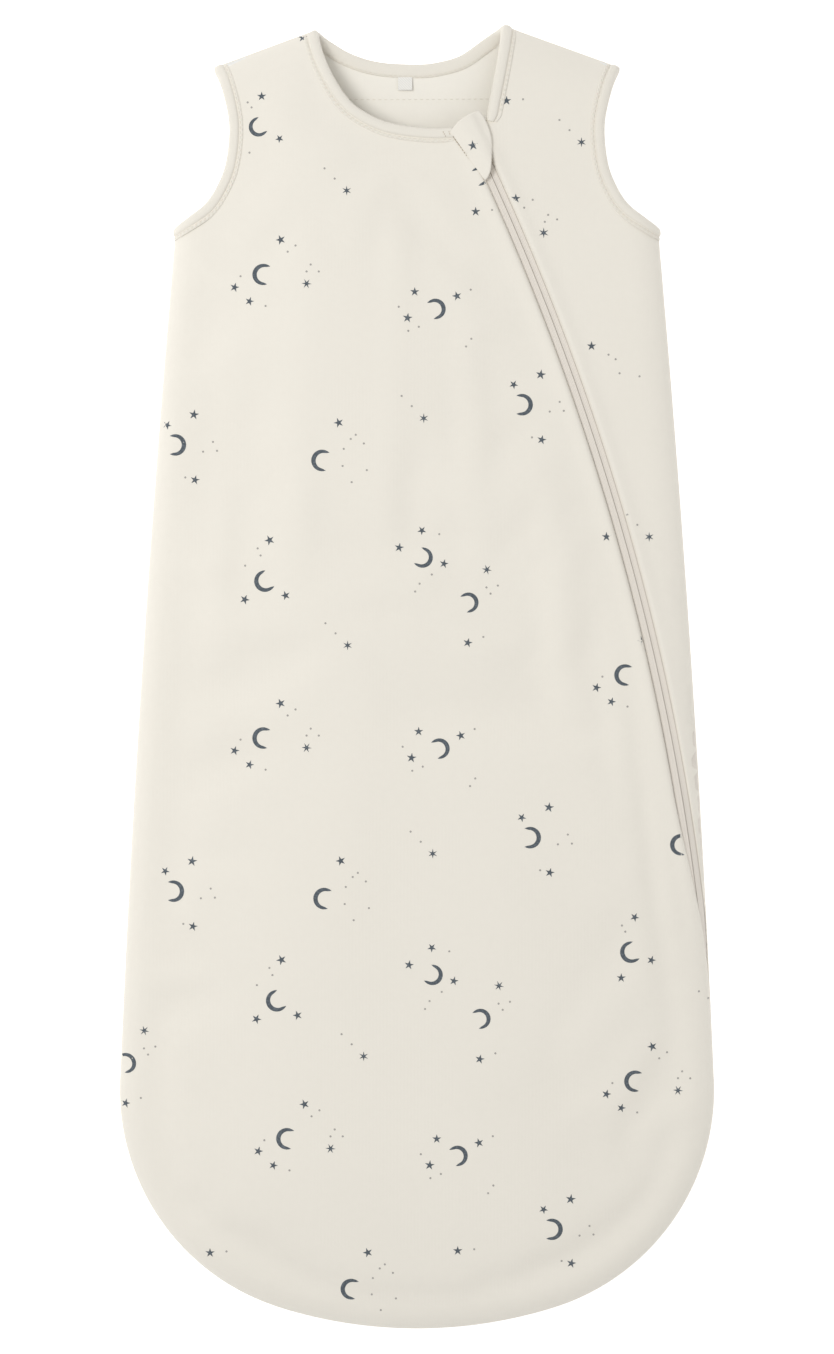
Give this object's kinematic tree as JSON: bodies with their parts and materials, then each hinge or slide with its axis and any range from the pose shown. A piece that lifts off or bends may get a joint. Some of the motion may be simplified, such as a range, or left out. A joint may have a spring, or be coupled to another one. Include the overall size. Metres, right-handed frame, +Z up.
{
  "type": "baby sleeping bag",
  "caption": "Sleeveless padded baby sleeping bag lying flat, with bound neck and armholes, a rounded foot and a slanting front zip under a small flap.",
  "frame": {"origin": "under the middle of the bag, on the surface that it lies on", "axes": "+X towards the wearer's left, the side that the zip runs to; +Y towards the head; +Z up, out of the front of the bag"},
  "size_m": [0.3194, 0.7, 0.0237],
  "materials": {
    "outer_cloth": "cream cotton jersey with a small slate print",
    "lining_cloth": "plain off-white cotton jersey",
    "wadding": "soft white polyester wadding",
    "binding_cloth": "cream rib jersey, folded and stitched",
    "label_cloth": "white satin label tape with no lettering",
    "zip_tape": "pinkish cream woven zip tape",
    "zip_coil": "cream nylon coil",
    "zip_stop": "cream moulded stops",
    "slider_metal": "cream enamelled zip slider"
  },
  "bodies": {
    "bag": {"back_outer": "outer_cloth", "back_wadding": "wadding", "back_lining": "lining_cloth", "front_outer": "outer_cloth", "front_wadding": "wadding", "front_lining": "lining_cloth", "zip_side_outer": "outer_cloth", "zip_side_wadding": "wadding", "zip_side_lining": "lining_cloth", "neckband": "binding_cloth", "armhole_binding_left": "binding_cloth", "armhole_binding_right": "binding_cloth", "neck_facing": "lining_cloth", "size_label": "label_cloth", "zip_tape_left": "zip_tape", "zip_coil_left": "zip_coil", "zip_top_stop_left": "zip_stop", "zip_bottom_stop": "zip_stop", "zip_guard": "lining_cloth"},
    "lapel": {"lapel_outer": "outer_cloth", "lapel_wadding": "wadding", "lapel_lining": "lining_cloth", "lapel_neckband": "binding_cloth", "zip_tape_right": "zip_tape", "zip_coil_right": "zip_coil", "zip_top_stop_right": "zip_stop"},
    "slider": {"slider_body": "slider_metal", "slider_crown": "slider_metal"},
    "pull": {"slider_pull": "slider_metal"},
    "flap": {"zip_garage": "outer_cloth"}
  },
  "joints": [
    {"name": "slider_travel", "type": "hinge", "parent": "bag", "child": "slider", "pos_m": [-1.15912, -0.28308, 0.06636], "axis": [-0.04, 0, -0.9992], "range_deg": [0, 17.3]},
    {"name": "front_fold", "type": "hinge", "parent": "bag", "child": "lapel", "pos_m": [-0.02994, 0.3015, 0.0222], "axis": [0.3891, -0.921, -0.0156], "range_deg": [0, 150]},
    {"name": "pull_swing", "type": "hinge", "parent": "slider", "child": "pull", "pos_m": [0.02863, 0.28955, 0.01986], "axis": [-0.9002, -0.434, 0.036], "range_deg": [0, 170]},
    {"name": "garage_flap", "type": "hinge", "parent": "lapel", "child": "flap", "pos_m": [0.0169, 0.2885, 0.01962], "axis": [0.564, -0.8255, -0.0226], "range_deg": [0, 150], "deforming": ["zip_garage"]}
  ],
  "couplings": [
    {"joint": "front_fold", "follows": "slider_travel", "ratio": 8.67}
  ]
}
